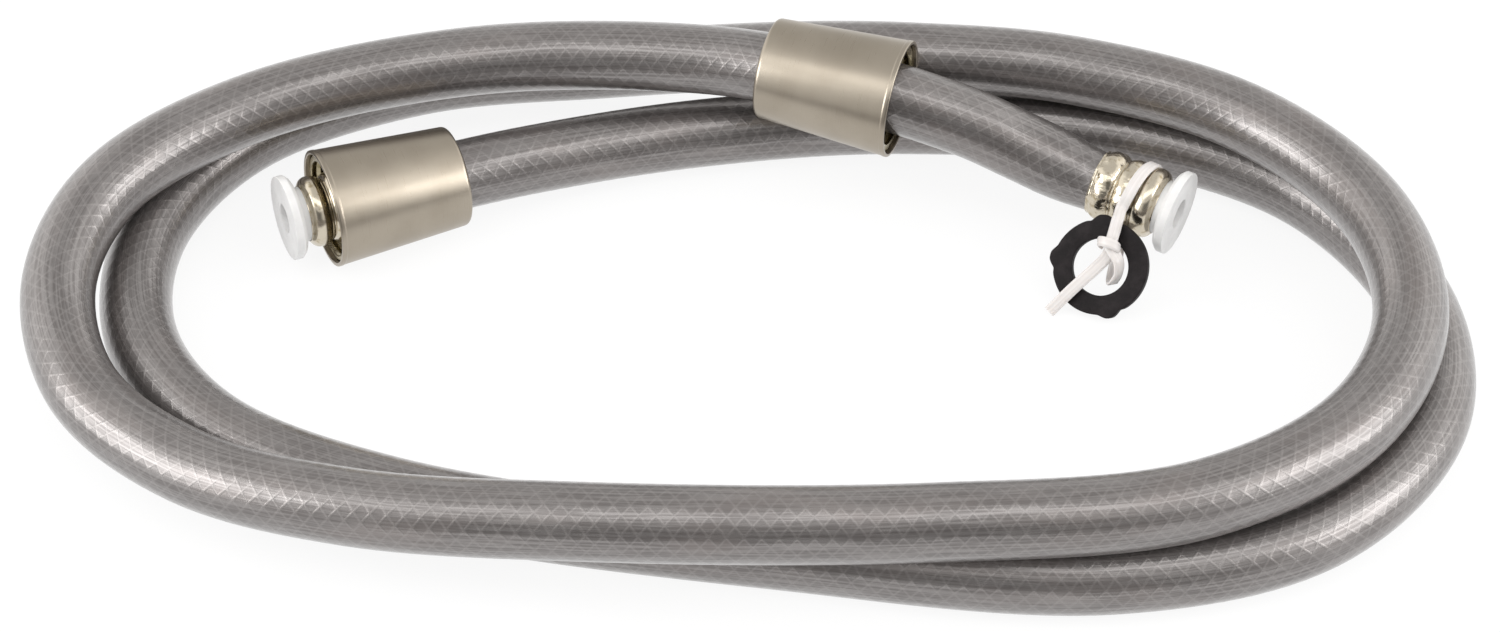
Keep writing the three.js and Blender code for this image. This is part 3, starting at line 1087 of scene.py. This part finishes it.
def make_floor():
    """White translucent paper, softly lit from below."""
    shader = Shader("white_paper")
    fibres = shader.noise(shader.place(), 0.02, 2.0)
    colour = shader.blend(fibres, (0.12, 0.12, 0.12), (0.13, 0.13, 0.13))
    shader.finish(
        Base_Color=colour,
        Roughness=0.9,
        Specular_IOR_Level=0.1,
        Emission_Color=(1, 1, 1),
        Emission_Strength=0.88,
    )
    size = FLOOR_HALF_SIZE
    mesh = bpy.data.meshes.new("floor")
    corners = [(-size, -size, 0), (size, -size, 0), (size, size, 0), (-size, size, 0)]
    mesh.from_pydata(corners, [], [(0, 1, 2, 3)])
    mesh.materials.append(shader.material)
    floor = bpy.data.objects.new("floor", mesh)
    bpy.context.scene.collection.objects.link(floor)


def make_softbox(name, place, width, height, power):
    """A rectangular light that faces the middle of the floor."""
    data = bpy.data.lights.new(name, "AREA")
    data.shape = "RECTANGLE"
    data.size = width
    data.size_y = height
    data.energy = power
    light = bpy.data.objects.new(name, data)
    light.location = place
    light.rotation_euler = (-Vector(place)).to_track_quat("-Z", "Y").to_euler()
    bpy.context.scene.collection.objects.link(light)


def make_room():
    """A pale room, brighter to both sides and darker low in front."""
    world = bpy.data.worlds.new("room")
    bpy.context.scene.world = world
    world.use_nodes = True
    tree = world.node_tree
    where = tree.nodes.new("ShaderNodeTexCoord").outputs["Generated"]
    parts = tree.nodes.new("ShaderNodeSeparateXYZ")
    tree.links.new(where, parts.inputs[0])

    def ramp(value, low, high, to_low, to_high):
        made = tree.nodes.new("ShaderNodeMapRange")
        made.interpolation_type = "SMOOTHSTEP"
        tree.links.new(value, made.inputs[0])
        for socket, number in zip(made.inputs[1:5], (low, high, to_low, to_high)):
            socket.default_value = number
        return made.outputs[0]

    def calculate(operation, *values):
        made = tree.nodes.new("ShaderNodeMath")
        made.operation = operation
        for value, socket in zip(values, made.inputs):
            tree.links.new(value, socket)
        return made.outputs[0]

    in_front = ramp(parts.outputs[1], -0.6, -0.15, 1.0, 0.0)
    low_down = ramp(parts.outputs[2], 0.54, 0.62, 1.0, 0.0)
    both = calculate("MULTIPLY", in_front, low_down)
    front_and_back = ramp(both, 0.0, 1.0, ROOM_LIGHT, ROOM_DARK)
    sideways = calculate("ABSOLUTE", parts.outputs[0])
    sides = ramp(sideways, 0.25, 0.65, 0.0, ROOM_SIDES)
    background = tree.nodes["Background"]
    tree.links.new(calculate("ADD", front_and_back, sides), background.inputs["Strength"])
    background.inputs["Color"].default_value = (1.0, 0.99, 0.975, 1)


make_floor()
make_room()
for softbox in SOFTBOXES:
    make_softbox(*softbox)
bpy.context.scene.view_settings.view_transform = "Standard"
